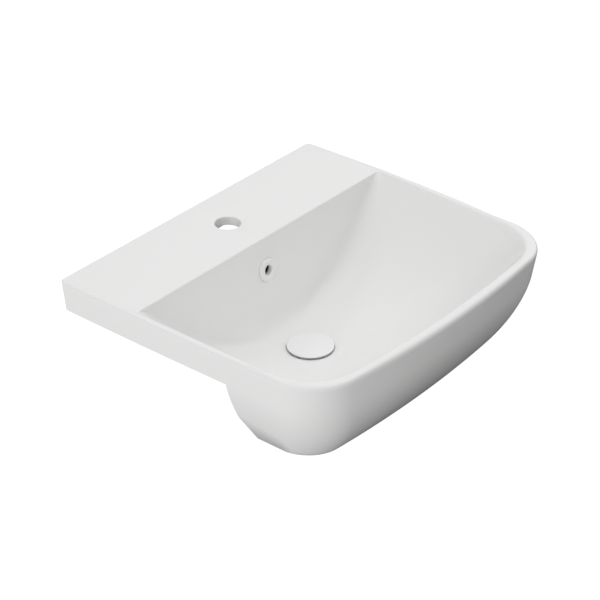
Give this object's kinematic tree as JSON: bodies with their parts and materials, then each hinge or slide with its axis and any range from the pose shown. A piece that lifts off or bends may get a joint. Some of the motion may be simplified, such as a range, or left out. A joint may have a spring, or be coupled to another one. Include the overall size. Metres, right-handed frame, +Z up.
{
  "type": "semi recessed wash basin",
  "caption": "White semi recessed wash basin with a tap hole in its rear ledge, an overflow, a curved skirt in front of the furniture and a push-button plug.",
  "frame": {"origin": "on the centre line where the wall face meets the plane of the worktop that carries the apron", "axes": "+X to the right along the wall, +Y into the wall, +Z up"},
  "size_m": [0.4996, 0.4342, 0.224],
  "materials": {
    "glazed_ceramic": "smooth white glaze",
    "white_enamel": "glossy white coating over brass",
    "white_plastic": "glossy white moulding",
    "chromed_brass": "bright chrome plating",
    "plain_brass": "turned brass",
    "seal_rubber": "black rubber",
    "washer_plastic": "natural plastic",
    "latch_plastic": "off-white acetal",
    "spring_steel": "stainless spring wire"
  },
  "bodies": {
    "basin": {"basin_body": "glazed_ceramic", "overflow_ring": "white_plastic", "waste_body": "chromed_brass", "flange_seal": "seal_rubber", "cone_seal": "seal_rubber", "slip_washer": "washer_plastic", "backnut": "plain_brass", "latch_housing": "latch_plastic", "latch_collar": "latch_plastic", "return_spring": "spring_steel"},
    "plug": {"plug_cap": "white_enamel", "plug_carrier": "white_plastic", "plug_seal": "seal_rubber", "plunger": "latch_plastic", "latch_rotor": "latch_plastic"}
  },
  "joints": [
    {"name": "plug_slide", "type": "slide", "parent": "basin", "child": "plug", "axis": [0, 0, 1], "range_m": [0, 0.01], "deforming": ["return_spring"]}
  ]
}
